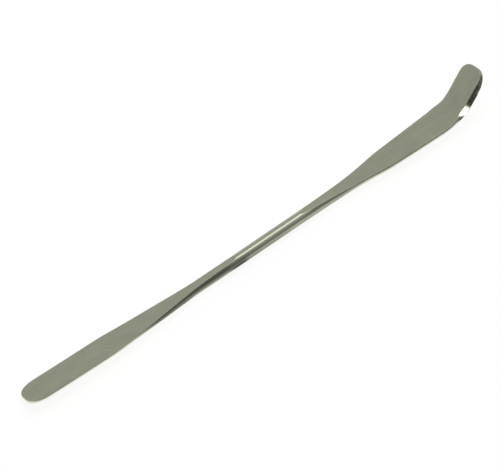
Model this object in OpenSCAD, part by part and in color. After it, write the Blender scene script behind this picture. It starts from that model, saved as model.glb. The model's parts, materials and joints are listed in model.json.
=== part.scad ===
// Double-ended laboratory spatula, forged from one bar of stainless steel.
// A round shank runs out into a straight blade with a blunt nose at one end.
// At the other end it runs out into a paddle blade whose tip is bent up.
// The part lies as it comes to rest: on its shank and on one edge of the paddle.

/* [Shank] */
// Diameter of the round shank
shank_d = 3.2; // [2.6:0.1:4.2]
// Length that stays fully round
shank_len = 19.9; // [10:0.1:42]

/* [Straight blade] */
// Length from the shank to the end of the nose
straight_len = 66.5; // [60:0.1:94]
// Full width
straight_w = 7.9; // [6:0.1:11]
// Thickness of the flat
straight_t = 0.7; // [0.5:0.05:1.4]
// Length of the shallow flat next to the shank
straight_hold = 3.8; // [0:0.1:8]
// Length over which the bar is then pressed down to the full thinness
straight_draw = 33; // [14:1:42]
// Distance from the shank to where the width starts to grow
straight_lead = 11.7; // [4:0.1:14]
// Length over which the width grows
straight_taper = 31.6; // [20:0.1:40]
// Length of the rounded nose
straight_nose = 6; // [3:0.1:6.5]
// Width of the blunt end of the nose
straight_end_w = 1.6; // [0.6:0.1:3]
// Height of the nose above the axis of the shank
straight_rise = 1.5; // [0:0.05:2.5]

/* [Paddle blade] */
// Length from the shank to the start of the bend
paddle_len = 44.8; // [40:0.1:74]
// Width at the shoulder
shoulder_w = 7.9; // [5:0.1:10]
// Width at the start of the bend
bend_w = 9.6; // [7:0.1:13]
// Thickness of the flat
paddle_t = 1; // [0.5:0.05:1.4]
// Length over which the bar is pressed down to that thickness
paddle_draw = 20; // [14:1:30]
// Distance ahead of the shank's end at which the width starts to grow
paddle_early = 4.2; // [0:0.1:5]
// Length over which the width grows to the shoulder
paddle_taper = 33.6; // [20:0.1:38]
// Height of the start of the bend above the axis of the shank
paddle_rise = 0.65; // [0:0.05:1.5]

/* [Bent tip] */
// Angle of the bend
bend_angle = 37; // [20:1:70]
// Radius of the bend along the middle of the blade
bend_r = 15.8; // [8:0.1:24]
// Straight length beyond the bend, nose included
tip_len = 8.6; // [7:0.1:18]
// Width at the start of the tip's nose
tip_w = 9.8; // [6:0.1:13]
// Length of the tip's rounded nose
tip_nose = 6.9; // [4:0.1:7]
// Width of the blunt end of the tip's nose
tip_end_w = 1.6; // [0.6:0.1:3]
// How far the top of the tip's flat rim is ground back
tip_bevel = 1.1; // [0:0.05:1.5]
// Distance past the start of the bend at which the grinding starts
grind_from = 2.1; // [0:0.1:5]
// Length over which it reaches its full depth
grind_ramp = 5.5; // [3:0.5:8]

/* [Hidden] */

// Bluntness of the noses: 2 is an ellipse, more is squarer
nose_power = 2.5;
// Share of a taper spent easing in and out: long soft shoulders or short ones
soft_ease = 0.4;
brisk_ease = 0.15;
// Power by which the paddle spreads: more than 1 holds its neck slim for longer
spread_power = 1.9;
// Each flat starts with a small step down, eased over a short ramp
press_step = 0.26;
press_ramp = 1.6;
// Power by which the ground rim fades out round the nose
bevel_fade = 6;
// The roots of the blades run this far into the shank, this far under its surface
root_depth = 0.8;
root_cover = 0.02;
// Angle up the round side at which the flat begins where the bar is barely pressed
first_press = 88;
// Steps round a section: up each round side and across each flat
side_n = 12;
across_n = 6;
// Sections along each stretch
ramp_n = 4;
neck_n = 20;
flat_n = 4;
bend_n = 16;
nose_n = 10;
shank_fn = 96;
// Halvings of the search for the angle of rest, and its largest angle
settle_n = 40;
settle_max = 70;

shank_r = shank_d / 2;
root_r = shank_r - root_cover;
bend_len = bend_r * bend_angle * PI / 180;
paddle_end = paddle_len + bend_len + tip_len;
straight_reach = straight_lead + straight_taper;
paddle_reach = paddle_taper - paddle_early;

function clamp01(u) = max(0, min(1, u));

// Straight rise from 0 to 1 with the share b of it eased at either end
function eased(u, b) =
    let (v = clamp01(u), k = 2 * b * (1 - b))
    v < b ? v * v / k : v > 1 - b ? 1 - (1 - v) ^ 2 / k : (v - b / 2) / (1 - b);

// Quarter of a squared-off ellipse: height 1 at 0 and nothing at 1
function quarter(u) = (1 - u ^ nose_power) ^ (1 / nose_power);

// Share of the full width left at d, on a blade that ends at e in a blunt end
function nose_share(d, e, nose, end_w, full_w) =
    quarter(clamp01((d - e + nose) / nose) * quarter(end_w / full_w));

// Half thickness at d from the shank: a step down, a stretch that holds, then the long draw
function half_t(d, t, hold, draw, ease) =
    root_r - press_step * eased(d / press_ramp, soft_ease)
    + (t / 2 - root_r + press_step) * eased((d - hold) / draw, ease);

// Half width before the nose is rounded
function straight_body(d) =
    root_r + (straight_w / 2 - root_r) * eased((d - straight_lead) / straight_taper, brisk_ease);

function paddle_body(d) =
    let (grow = (bend_w - shoulder_w) / (paddle_len - paddle_reach),
         fade = (tip_w - bend_w) / (bend_len + tip_len - tip_nose),
         full = bend_w + (d < paddle_len ? grow : fade) * (d - paddle_len))
    root_r + (full / 2 - root_r) * eased((d + paddle_early) / paddle_taper, brisk_ease) ^ spread_power;

// Middle line of a blade at d: place along the shank, height and slope
function risen(d, len, rise) =
    let (u = max(d, 0) / len)
    [d, rise * u * u, atan(2 * rise * u / len)];

function paddle_line(d) =
    let (start = risen(paddle_len, paddle_len, paddle_rise),
         slope = start[2] + clamp01((d - paddle_len) / bend_len) * bend_angle,
         past = max(d - paddle_len - bend_len, 0))
    d <= paddle_len ? risen(d, paddle_len, paddle_rise) :
    [start[0] + bend_r * (sin(slope) - sin(start[2])) + past * cos(slope),
     start[1] + bend_r * (cos(start[2]) - cos(slope)) + past * sin(slope),
     slope];

// One half of a section, as shares of its reach to the side and angles up the round bar:
// round the side, then across the flat
function upper_half(corner) =
    concat([for (i = [-side_n / 2 : side_n / 2]) [1, 2 * corner * i / side_n]],
           [for (i = [1 : across_n - 1]) [1 - 2 * i / across_n, corner]]);

// A round bar spread to the half width w and pressed flat above and below. Where it is
// ground its sides are flat too, and lean in by the bevel at the top.
function section(line, w, t, bevel = 0, ground = 0) =
    let (corner = min(asin(t / root_r), first_press), half = upper_half(corner))
    [for (p = concat(half, -half))
        let (z = root_r * sin(p[1]),
             side = w * (cos(p[1]) + ground * (1 - cos(p[1]))),
             y = p[0] * (side - bevel * ground * (1 + sin(p[1]) / sin(corner)) / 2))
        [line[0] - z * sin(line[2]), y, line[1] + z * cos(line[2])]];

// Distances along a blade: its neck, its flat and the nose, closer towards the end
function along(from, to, n) = [for (i = [0 : n - 1]) from + (to - from) * i / n];
function nose_along(e, nose) = [for (i = [0 : nose_n]) e - nose * (1 - sin(90 * i / nose_n))];

straight_at = concat([-root_depth], along(0, press_ramp, ramp_n),
    along(press_ramp, straight_reach, neck_n),
    along(straight_reach, straight_len - straight_nose, flat_n), nose_along(straight_len, straight_nose));
straight_rings = [for (d = straight_at)
    section(risen(d, straight_len, straight_rise),
        straight_body(d) * nose_share(d, straight_len, straight_nose, straight_end_w, straight_w),
        half_t(d, straight_t, straight_hold, straight_draw, brisk_ease))];

paddle_at = concat([-root_depth], along(0, press_ramp, ramp_n), along(press_ramp, paddle_reach, neck_n),
    along(paddle_reach, paddle_len, flat_n), along(paddle_len, paddle_end - tip_nose, bend_n),
    nose_along(paddle_end, tip_nose));
paddle_rings = [for (d = paddle_at)
    let (share = nose_share(d, paddle_end, tip_nose, tip_end_w, tip_w))
    section(paddle_line(d), paddle_body(d) * share,
        half_t(d, paddle_t, 0, paddle_draw, soft_ease),
        bevel = tip_bevel * share ^ bevel_fade,
        ground = eased((d - paddle_len - grind_from) / grind_ramp, soft_ease))];

// Angle of rest: the shank lies on the table and the far edge of the paddle touches it
function lowest(rings, angle) =
    min([for (ring = rings) for (p = ring) p[2] * cos(angle) - p[1] * sin(angle)]);
function settle(lo, hi, n) =
    let (mid = (lo + hi) / 2)
    n == 0 ? mid : lowest(paddle_rings, mid) < -shank_r ? settle(lo, mid, n - 1) : settle(mid, hi, n - 1);
roll = settle(0, settle_max, settle_n);

// The origin is under the middle of the resting part
reach_x = max([for (ring = paddle_rings) for (p = ring) p[0]]);
straight_x = max([for (ring = straight_rings) for (p = ring) p[0]]);
side_y = [for (ring = concat(straight_rings, paddle_rings)) for (p = ring)
    p[1] * cos(roll) + p[2] * sin(roll)];
mid_x = (reach_x - straight_x) / 2;
mid_y = (max(side_y) + min(side_y)) / 2;
low_z = min(lowest(paddle_rings, roll), -shank_r);

// Skin over a row of sections, closed at both ends by a fan about the middle of the section
module blade(rings) {
    ring_n = len(rings[0]);
    last = (len(rings) - 1) * ring_n;
    root_mid = last + ring_n;
    end_mid = root_mid + 1;
    middles = [for (ring = [rings[0], rings[len(rings) - 1]]) (ring[0] + ring[ring_n / 2]) / 2];
    ends = [for (j = [0 : ring_n - 1])
        let (k = (j + 1) % ring_n)
        each [[root_mid, j, k], [end_mid, last + k, last + j]]];
    skin = [for (a = [0 : ring_n : last - 1]) for (j = [0 : ring_n - 1])
        let (k = (j + 1) % ring_n, b = a + ring_n)
        each [[a + k, a + j, b + k], [b + k, a + j, b + j]]];
    polyhedron(concat([for (ring = rings) each ring], middles), concat(ends, skin));
}

module spatula() {
    color("#9b9c8f")
    translate([-mid_x, -mid_y, -low_z])
    rotate([-roll, 0, 0])
    union() {
        rotate([0, 90, 0])
        cylinder(d = shank_d, h = shank_len, center = true, $fn = shank_fn);
        translate([shank_len / 2, 0, 0])
        blade(paddle_rings);
        mirror([1, 0, 0])
        translate([shank_len / 2, 0, 0])
        blade(straight_rings);
    }
}

spatula();
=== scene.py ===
import json
import math

import bmesh
import bpy
from mathutils import Matrix, Vector


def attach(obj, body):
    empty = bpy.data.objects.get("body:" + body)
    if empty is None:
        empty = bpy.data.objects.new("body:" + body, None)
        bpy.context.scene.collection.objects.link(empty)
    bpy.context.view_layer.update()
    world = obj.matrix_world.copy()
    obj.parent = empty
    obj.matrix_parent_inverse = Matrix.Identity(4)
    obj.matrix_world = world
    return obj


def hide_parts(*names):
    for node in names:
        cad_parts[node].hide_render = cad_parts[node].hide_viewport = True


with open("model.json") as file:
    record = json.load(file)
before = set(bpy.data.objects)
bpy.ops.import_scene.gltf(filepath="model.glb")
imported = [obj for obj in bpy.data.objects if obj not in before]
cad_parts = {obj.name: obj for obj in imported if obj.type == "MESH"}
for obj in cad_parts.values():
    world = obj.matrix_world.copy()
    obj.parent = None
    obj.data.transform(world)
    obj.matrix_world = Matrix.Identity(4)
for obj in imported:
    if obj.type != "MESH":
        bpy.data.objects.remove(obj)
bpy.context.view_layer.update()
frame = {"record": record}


# Spatula: one round bar of stainless steel, forged in one piece, so no seam or joint shows.
# Its middle stays a round shank. Both ends are pressed flat, spread and ground satin: a straight
# blade with a blunt nose, and a paddle whose tip is bent up and has its rim ground back.

# Lengths of the bar in millimetres
shank_r = 1.6
shank_len = 19.9

straight_len = 66.5
straight_w = 7.9
straight_t = 0.7
straight_hold = 3.8
straight_draw = 33
straight_lead = 11.7
straight_taper = 31.6
straight_nose = 6
straight_end_w = 1.6
straight_rise = 1.5

paddle_len = 44.8
shoulder_w = 7.9
bend_w = 9.6
paddle_t = 1
paddle_draw = 20
paddle_early = 4.2
paddle_taper = 33.6
paddle_rise = 0.65

bend_angle = math.radians(37)
bend_r = 15.8
tip_len = 8.6
tip_w = 9.8
tip_nose = 6.9
tip_end_w = 1.6
tip_bevel = 1.1
bevel_fade = 6
grind_from = 2.1
grind_ramp = 5.5

nose_power = 2.5
spread_power = 1.9
soft_ease = 0.4
brisk_ease = 0.15
press_step = 0.26
press_ramp = 1.6
edge_soft = 0.006
end_round = 0.16
lean = math.radians(21.8306)

bend_len = bend_r * bend_angle
paddle_end = paddle_len + bend_len + tip_len
bar_len = straight_len + shank_len + paddle_end


def clamp01(u):
    return min(max(u, 0), 1)


def eased(u, share):
    """Straight rise from 0 to 1, with a share of it eased at either end."""
    v = clamp01(u)
    k = 2 * share * (1 - share)
    if v < share:
        return v * v / k
    if v > 1 - share:
        return 1 - (1 - v) ** 2 / k
    return (v - share / 2) / (1 - share)


def quarter(u):
    """Quarter of a squared-off ellipse: height 1 at 0 and nothing at 1."""
    return (1 - u**nose_power) ** (1 / nose_power)


def nose_share(d, end, nose, end_w, full_w):
    """Share of the full width left at d, on a blade that ends in a blunt nose."""
    return quarter(clamp01((d - end + nose) / nose) * quarter(end_w / full_w))


def spread(full, grown):
    """Half width of the bar, spread from the shank's radius towards half the full width."""
    return shank_r + (full / 2 - shank_r) * grown


def pressed(t, d, hold, draw, ease):
    """Half thickness: a short step down, a stretch that holds, then a long draw."""
    stepped = shank_r - press_step * eased(d / press_ramp, soft_ease)
    return stepped + (t / 2 - shank_r + press_step) * eased((d - hold) / draw, ease)


def rounded_off(half, gap):
    """Half a size, rounded off over the last stretch before the end of the bar."""
    past = 1 - clamp01(gap / end_round)
    return half - end_round * (1 - math.sqrt(1 - past * past))


def risen(d, length, rise):
    """Middle line of a blade: place along the shank, height and slope."""
    u = max(d, 0) / length
    return d, rise * u * u, math.atan(2 * rise * u / length)


def straight_blade(d):
    """Middle line, half width, half thickness, bevel of the rim and how far it is ground."""
    body = spread(straight_w, eased((d - straight_lead) / straight_taper, brisk_ease))
    share = nose_share(d, straight_len, straight_nose, straight_end_w, straight_w)
    line = risen(d, straight_len, straight_rise)
    half_w = rounded_off(body * share, straight_len - d)
    thick = pressed(straight_t, d, straight_hold, straight_draw, brisk_ease)
    half_t = rounded_off(thick, straight_len - d)
    return line, half_w, half_t, 0, 0


def paddle_blade(d):
    """The same for the paddle, whose middle line bends up to the tip."""
    past_bend = d - paddle_len
    if past_bend < 0:
        growth = (bend_w - shoulder_w) / (paddle_len + paddle_early - paddle_taper)
        line = risen(d, paddle_len, paddle_rise)
    else:
        growth = (tip_w - bend_w) / (bend_len + tip_len - tip_nose)
        x, z, start = risen(paddle_len, paddle_len, paddle_rise)
        slope = start + clamp01(past_bend / bend_len) * bend_angle
        beyond = max(past_bend - bend_len, 0)
        x += bend_r * (math.sin(slope) - math.sin(start)) + beyond * math.cos(slope)
        z += bend_r * (math.cos(start) - math.cos(slope)) + beyond * math.sin(slope)
        line = x, z, slope
    full = bend_w + growth * past_bend
    body = spread(full, eased((d + paddle_early) / paddle_taper, brisk_ease) ** spread_power)
    share = nose_share(d, paddle_end, tip_nose, tip_end_w, tip_w)
    half_w = rounded_off(body * share, paddle_end - d)
    thick = pressed(paddle_t, d, 0, paddle_draw, soft_ease)
    half_t = rounded_off(thick, paddle_end - d)
    bevel = tip_bevel * share**bevel_fade
    ground = eased((past_bend - grind_from) / grind_ramp, soft_ease)
    return line, half_w, half_t, bevel, ground


# Painted shade: a dark matt coat that stands in for dark reflections and shade on the round flanks,
# as shares of the surface: on the sides, low on them, under the edge of the paddle's flat, on the
# straight neck and its heel, on the far side and on the blunt end of the tip.
side_skin = 0.12
low_skin = 0.48
edge_skin = 0.4
neck_skin = 0.75
heel_skin = 0.34
far_skin = 0.7
blunt_skin = 0.6
# Share of it that is missing low on the paddle's half and deep under the straight neck
paddle_less = 0.3
deep_less = 0.35

# Where it comes or goes: the start and the length of each fade. Along the bar they count from
# the middle of the shank, towards the tip (s) or towards the nose (-s).
straight_flat = (9.4, 2)
paddle_flat = (11.5, 3)
neck_start = (11, 4)
heel_start = (-15, 4)
heel_end = (6.5, 3)
straight_run_out = (-47, 12)
paddle_run_out = (-34, 12)
paddle_half = (2, 6)
deep_end = (24, 5)
far_run_out = (5, 17)
blunt_end = (paddle_end - 3, 0.6)
# The same up (z) or down (-z) the section, and across it
edge_height = (0.5, 0.5)
low_depth = (-0.7, 0.8)
deep_depth = (0.1, 0.4)
far_height = (-0.4, 0.6)
far_side = (0, 0.6)

# The painted shade stops below the crown, which is higher beside the flats, and just under a flat's
# edge
crown_z = 1
straight_crown = 0.3
paddle_crown = 0.25
crown_fade = 0.4
flank_edge = 0.1
straight_edge = 0.04


def fade(value, start, length):
    """Soft rise from 0 at the start to 1 after the length."""
    return eased((value - start) / length, soft_ease)


def dark_skin(s, d, across, z, proud, ground):
    """Share of painted shade at a place of the bar: dark reflections and shade on its flanks, none on
    a flat.
    """
    straight_neck = fade(-s, *straight_flat)
    paddle_neck = fade(s, *paddle_flat)
    below_flat = clamp01(-proud / (flank_edge + (straight_edge - flank_edge) * straight_neck))
    crown = crown_z + straight_crown * straight_neck + paddle_crown * paddle_neck
    flank = below_flat * (1 - fade(abs(z), crown, crown_fade))

    side = side_skin + low_skin * fade(-z, *low_depth) * (1 - paddle_less * fade(s, *paddle_half))
    side = max(side, edge_skin * paddle_neck * fade(z, *edge_height))
    neck = neck_skin - deep_less * fade(-z, *deep_depth) * (1 - fade(-s, *deep_end))
    length_share = fade(-s, *paddle_run_out) * fade(s, *straight_run_out)
    heel = heel_skin * fade(s, *heel_start) * fade(-s, *heel_end)
    flanks = flank * (length_share * (side + (neck - side) * fade(-s, *neck_start)) + heel)

    far = far_skin * fade(across, *far_side) * (1 - fade(abs(s), *far_run_out)) * fade(z, *far_height)
    blunt = blunt_skin * ground * fade(d, *blunt_end)
    return max(flanks, blunt * below_flat, far * below_flat)


# The bar before forging: columns run its length, a fixed share of them up each round side, and
# rings stand closer towards both ends. Powers crowd the columns at the edges of the flats.
columns = 96
rings = 480
side_share = 9 / 24
ring_crowd = 0.9
side_crowd = 1.5
flat_crowd = 1.8
barely_pressed = math.radians(75)
# Depth of press from which the edge of a flat is rounded in full
full_press = 0.2

bar = bmesh.new()
bmesh.ops.create_cone(bar, cap_ends=True, segments=columns, radius1=1, radius2=1, depth=1)
long_edges = [e for e in bar.edges if abs(e.verts[0].co.z - e.verts[1].co.z) > 0.5]
bmesh.ops.subdivide_edges(bar, edges=long_edges, cuts=rings - 1)
lay = bar.verts.layers.float_vector.new("lay")
rim = bar.verts.layers.float.new("rim")
# Share of painted shade at each point: a dark matt coat standing in for dark reflections and shade
skin = bar.verts.layers.float.new("skin")

for vert in bar.verts:
    # Place along the bar, from the middle of the shank
    f = vert.co.z + 0.5
    crowded = f - ring_crowd * math.sin(2 * math.pi * f) / (2 * math.pi)
    s = bar_len * crowded - straight_len - shank_len / 2
    d = abs(s) - shank_len / 2
    toward_tip = s > 0
    line, half_w, half_t, bevel, ground = paddle_blade(d) if toward_tip else straight_blade(d)

    # Place round the section: up the round side, or across the flat from its corner
    q = math.asin(clamp01(abs(vert.co.y))) / (math.pi / 2)
    corner = min(math.asin(min(half_t / shank_r, 1)), barely_pressed)
    if q < side_share:
        angle = corner * (1 - (1 - q / side_share) ** side_crowd)
    else:
        inward = ((q - side_share) / (1 - side_share)) ** flat_crowd
        angle = math.acos(math.cos(corner) * (1 - inward))

    # The round bar's height, pressed flat with a small rounding at the edge of the flat
    proud = shank_r * math.sin(angle) - half_t
    soft = edge_soft * clamp01((shank_r - half_t) / full_press)
    height = half_t + (proud - math.sqrt(proud * proud + 4 * soft * soft)) / 2
    z = math.copysign(height, vert.co.y)

    # The ground rim of the tip: its sides are flat, and lean in by the bevel at the top
    own = math.cos(min(angle, corner))
    side = half_w * (own + ground * (1 - own)) - bevel * ground * (1 + z / half_t) / 2
    across = math.copysign(side * math.cos(angle) / own, vert.co.x)
    reach = line[0] - z * math.sin(line[2]) + shank_len / 2
    vert.co = (reach if toward_tip else -reach, across, line[1] + z * math.cos(line[2]))

    # What the finish follows: the place on the bar in metres, the ground rim and the painted shade
    vert[lay] = Vector((s, across, z)) / 1000
    vert[rim] = ground * clamp01(-proud / flank_edge)
    vert[skin] = dark_skin(s, d, across, z, proud, ground)

shank_place = Vector(frame["record"]["mounts"][0]["pos_m"])
placed = Matrix.Translation(shank_place) @ Matrix.Rotation(-lean, 4, "X") @ Matrix.Scale(0.001, 4)
bmesh.ops.transform(bar, matrix=placed, verts=bar.verts)
bmesh.ops.recalc_face_normals(bar, faces=bar.faces)
for face in bar.faces:
    face.smooth = True

spatula_mesh = bpy.data.meshes.new("steel_spatula")
bar.to_mesh(spatula_mesh)
bar.free()
steel_spatula = bpy.data.objects.new("steel_spatula", spatula_mesh)
bpy.context.scene.collection.objects.link(steel_spatula)


class Wire:
    """An output of a shader node; sums and products of wires add Math nodes."""

    def __init__(self, tree, socket=None):
        self.tree = tree
        self.socket = socket

    def node(self, kind, settings, inputs, output=0):
        """A new node: its settings first, then the values or wires of its sockets."""
        made = self.tree.nodes.new("ShaderNode" + kind)
        for name, value in settings.items():
            setattr(made, name, value)
        for name, value in inputs.items():
            if isinstance(value, Wire):
                self.tree.links.new(value.socket, made.inputs[name])
            else:
                made.inputs[name].default_value = value
        return Wire(self.tree, made.outputs[output] if made.outputs else None)

    def math(self, operation, first, second):
        return self.node("Math", {"operation": operation}, {0: first, 1: second})

    def __add__(self, other):
        return self.math("ADD", self, other)

    def __radd__(self, other):
        return self.math("ADD", other, self)

    def __sub__(self, other):
        return self.math("SUBTRACT", self, other)

    def __rsub__(self, other):
        return self.math("SUBTRACT", other, self)

    def __mul__(self, other):
        return self.math("MULTIPLY", self, other)

    def __rmul__(self, other):
        return self.math("MULTIPLY", other, self)

    def between(self, low, high):
        """0 at low and below, 1 at high and above, eased."""
        ends = {"Value": self, "From Min": low, "From Max": high}
        return self.node("MapRange", {"interpolation_type": "SMOOTHSTEP"}, ends)

    def toward(self, direction):
        """How far this vector points in the given direction."""
        return self.node("VectorMath", {"operation": "DOT_PRODUCT"}, {0: self, 1: direction}, "Value")

    def noise(self, cells, detail):
        """Even noise on this vector, with so many cells to the metre each way."""
        scaled = self.node("VectorMath", {"operation": "MULTIPLY"}, {0: self, 1: cells})
        return self.node("TexNoise", {}, {"Vector": scaled, "Scale": 1, "Detail": detail})


def new_tree(owner):
    owner.use_nodes = True
    owner.node_tree.nodes.clear()
    return Wire(owner.node_tree)


# Satin stainless steel: fine grinding lines along the bar, a cloudy tarnish, a few scratches.
# The shank is rubbed smoother by handling, the colour is lighter near the middle of the bar, the
# tip's ground rim is bright, and painted shade on the flanks, a dark matt coat, stands in for
# dark reflections and shade. Tones are mixed by shades, and cells are counted to the metre.
satin_tone = (0.53, 0.55, 0.42, 1)
lighter_tone = (0.66, 0.68, 0.53, 1)
# Painted shade: tone, dullness and shine of the dark matt coat that stands in for dark reflections
skin_tone = (0.06, 0.065, 0.055, 1)
skin_dullness = 0.6
skin_shine = 0.3

grain_cells = (160, 6500, 6500)
fine_grain_cells = (420, 15000, 15000)
cloud_cells = (170, 330, 330)
scratch_cells = (90, 4200, 4200)
scratch_turn = math.radians(14)
scratch_band = (0.70, 0.76)
near_middle_end = (0.016, 0.036)
noise_middle = 0.5

plain_shade = 0.45
grain_shade = 0.5
cloud_shade = 0.9
rim_shade = 0.2
middle_lightening = 0.3

plain_dullness = 0.28
grain_dullness = 0.08
cloud_dullness = 0.1
rim_gloss = 0.14
handled_gloss = 0.05

fine_relief = 0.5
scratch_relief = 0.6
relief_strength = 0.12
relief_depth = 0.00003

steel = bpy.data.materials.new("satin_steel")
tree = new_tree(steel)
place = tree.node("Attribute", {"attribute_name": "lay"}, {}, "Vector")
ground_rim = tree.node("Attribute", {"attribute_name": "rim"}, {}, "Fac")
# Share of painted shade at each point of the bar
forge_skin = tree.node("Attribute", {"attribute_name": "skin"}, {}, "Fac")
along_bar = place.node("SeparateXYZ", {}, {0: place}, "X")
from_middle = along_bar.node("Math", {"operation": "ABSOLUTE"}, {0: along_bar})
# Near the middle of the bar: rubbed smoother, and its colour lighter
near_middle = 1 - from_middle.between(*near_middle_end)
grain = place.noise(grain_cells, 2)
fine_grain = place.noise(fine_grain_cells, 1)
cloud = place.noise(cloud_cells, 3)
turned = place.node("Mapping", {}, {"Vector": place, "Rotation": (0, 0, scratch_turn)})
scratch = turned.noise(scratch_cells, 0).between(*scratch_band)

steel_shade = (grain - noise_middle) * grain_shade + (cloud - noise_middle) * cloud_shade
steel_shade = steel_shade + ground_rim * rim_shade + near_middle * middle_lightening + plain_shade
colour = steel_shade.node(
    "Mix",
    {"data_type": "RGBA"},
    {0: steel_shade, 6: satin_tone, 7: lighter_tone},
    2,
)
dullness = plain_dullness - near_middle * handled_gloss - ground_rim * rim_gloss
dullness = dullness + (cloud - noise_middle) * cloud_dullness + (grain - noise_middle) * grain_dullness
relief = (grain + fine_grain * fine_relief - scratch * scratch_relief) * (1 - ground_rim)
bumped = relief.node(
    "Bump",
    {},
    {"Strength": relief_strength, "Distance": relief_depth, "Height": relief},
)
bright = tree.node(
    "BsdfPrincipled",
    {},
    {"Base Color": colour, "Roughness": dullness, "Metallic": 1, "Normal": bumped},
)
# Painted shade: the dark matt coat mixed in where the bar shows dark reflections and shade
matt_skin = tree.node(
    "BsdfPrincipled",
    {},
    {"Base Color": skin_tone, "Roughness": skin_dullness, "Specular IOR Level": skin_shine},
)
finish = tree.node("MixShader", {}, {0: forge_skin, 1: bright, 2: matt_skin})
tree.node("OutputMaterial", {}, {"Surface": finish})
spatula_mesh.materials.append(steel)

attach(steel_spatula, "root")
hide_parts("spatula")


# Floor: a wide white table sheet. Seen straight or in the steel it is close to white,
# and its matt part keeps a pale shadow under the spatula.
sheet_reach = 2.5
sheet_glow = 0.77
sheet_grey = (0.45, 0.45, 0.45, 1)
white = (1, 1, 1, 1)

sheet = bmesh.new()
bmesh.ops.create_grid(sheet, x_segments=1, y_segments=1, size=sheet_reach)
floor_mesh = bpy.data.meshes.new("floor")
sheet.to_mesh(floor_mesh)
sheet.free()
floor = bpy.data.objects.new("floor", floor_mesh)
bpy.context.scene.collection.objects.link(floor)

white_sheet = bpy.data.materials.new("white_sheet")
tree = new_tree(white_sheet)
camera_ray = tree.node("LightPath", {}, {}, "Is Camera Ray")
glossy_ray = tree.node("LightPath", {}, {}, "Is Glossy Ray")
clear_ray = tree.node("LightPath", {}, {}, "Is Transmission Ray")
glow_share = (camera_ray + glossy_ray + clear_ray) * sheet_glow
glow = tree.node("Emission", {}, {"Color": white, "Strength": glow_share})
matt = tree.node("BsdfDiffuse", {}, {"Color": sheet_grey})
sheet_skin = tree.node("AddShader", {}, {0: glow, 1: matt})
tree.node("OutputMaterial", {}, {"Surface": sheet_skin})
floor_mesh.materials.append(white_sheet)


# Studio: soft grey walls, darker on the camera's side and darkest beside and below the camera,
# where the flanks and the tip's ground rim mirror them. A long softbox hangs over the shank,
# and a narrow one stands above the camera.
wall_light = 0.435
behind_less = 0.1
dark_less = 0.27
below_share = 0.75
left_less = 0.03

studio = bpy.data.worlds.new("studio")
bpy.context.scene.world = studio
tree = new_tree(studio)
way = tree.node("TexCoord", {}, {}, "Generated")
behind = way.toward((0, -0.95, 0.3)).between(0.25, 0.6)
by_camera = way.toward((-0.58, -0.46, 0.67)).between(0.86, 0.93)
below_camera = way.toward((-0.1, -0.82, 0.56)).between(0.87, 0.93)
dark = way.math("MAXIMUM", by_camera, below_camera * below_share)
to_left = way.toward((-1, 0, 0)).between(-0.1, 0.6)
wall = wall_light - behind * behind_less - dark * dark_less - to_left * left_less
room = wall.node("Background", {}, {"Color": white, "Strength": wall})
tree.node("OutputWorld", {}, {"Surface": room})

# Watts for each square metre of lamp at a radiance of 1
lamp_watts = 4


def softbox(name, toward, distance, size_x, size_y, radiance):
    """A rectangular lamp in the given direction, facing the spatula, its first side along it."""
    lamp = bpy.data.lights.new(name, "AREA")
    lamp.shape = "RECTANGLE"
    lamp.size = size_x
    lamp.size_y = size_y
    lamp.energy = radiance * lamp_watts * size_x * size_y
    out = Vector(toward).normalized()
    along = Vector((1, 0, 0))
    along = (along - out * along.dot(out)).normalized()
    turn = Matrix((along, out.cross(along), out)).transposed().to_4x4()
    turn.translation = out * distance
    holder = bpy.data.objects.new(name, lamp)
    holder.matrix_world = turn
    bpy.context.scene.collection.objects.link(holder)


softbox("long_softbox", (0.31, 0.19, 0.93), 0.9, 0.9, 0.4, 0.73)
softbox("camera_softbox", (-0.15, -0.385, 0.91), 1.2, 0.7, 0.26, 2)


# Camera: a long lens that looks down on the spatula from its left, upright.
image_width = 500
image_height = 466
camera_azimuth = math.radians(-37.93)
camera_elevation = math.radians(60)
camera_distance = 0.9
pixels_per_metre = 3928.6
seen_point = Vector((0, 0, 0.0015))
seen_pixel = (257.32, 241.12)

right = Vector((math.cos(camera_azimuth), math.sin(camera_azimuth), 0))
back = Vector((right.y, -right.x, 0)) * math.cos(camera_elevation)
back.z = math.sin(camera_elevation)
upward = back.cross(right)
aim = seen_point - right * ((seen_pixel[0] - image_width / 2) / pixels_per_metre)
aim += upward * ((seen_pixel[1] - image_height / 2) / pixels_per_metre)
view = Matrix((right, upward, back)).transposed().to_4x4()
view.translation = aim + back * camera_distance

lens = bpy.data.cameras.new("camera")
lens.sensor_fit = "HORIZONTAL"
lens.lens = lens.sensor_width * pixels_per_metre * camera_distance / image_width
lens.clip_end = 50
camera = bpy.data.objects.new("camera", lens)
camera.matrix_world = view
bpy.context.scene.collection.objects.link(camera)
bpy.context.scene.camera = camera

bpy.context.scene.view_settings.view_transform = "Standard"
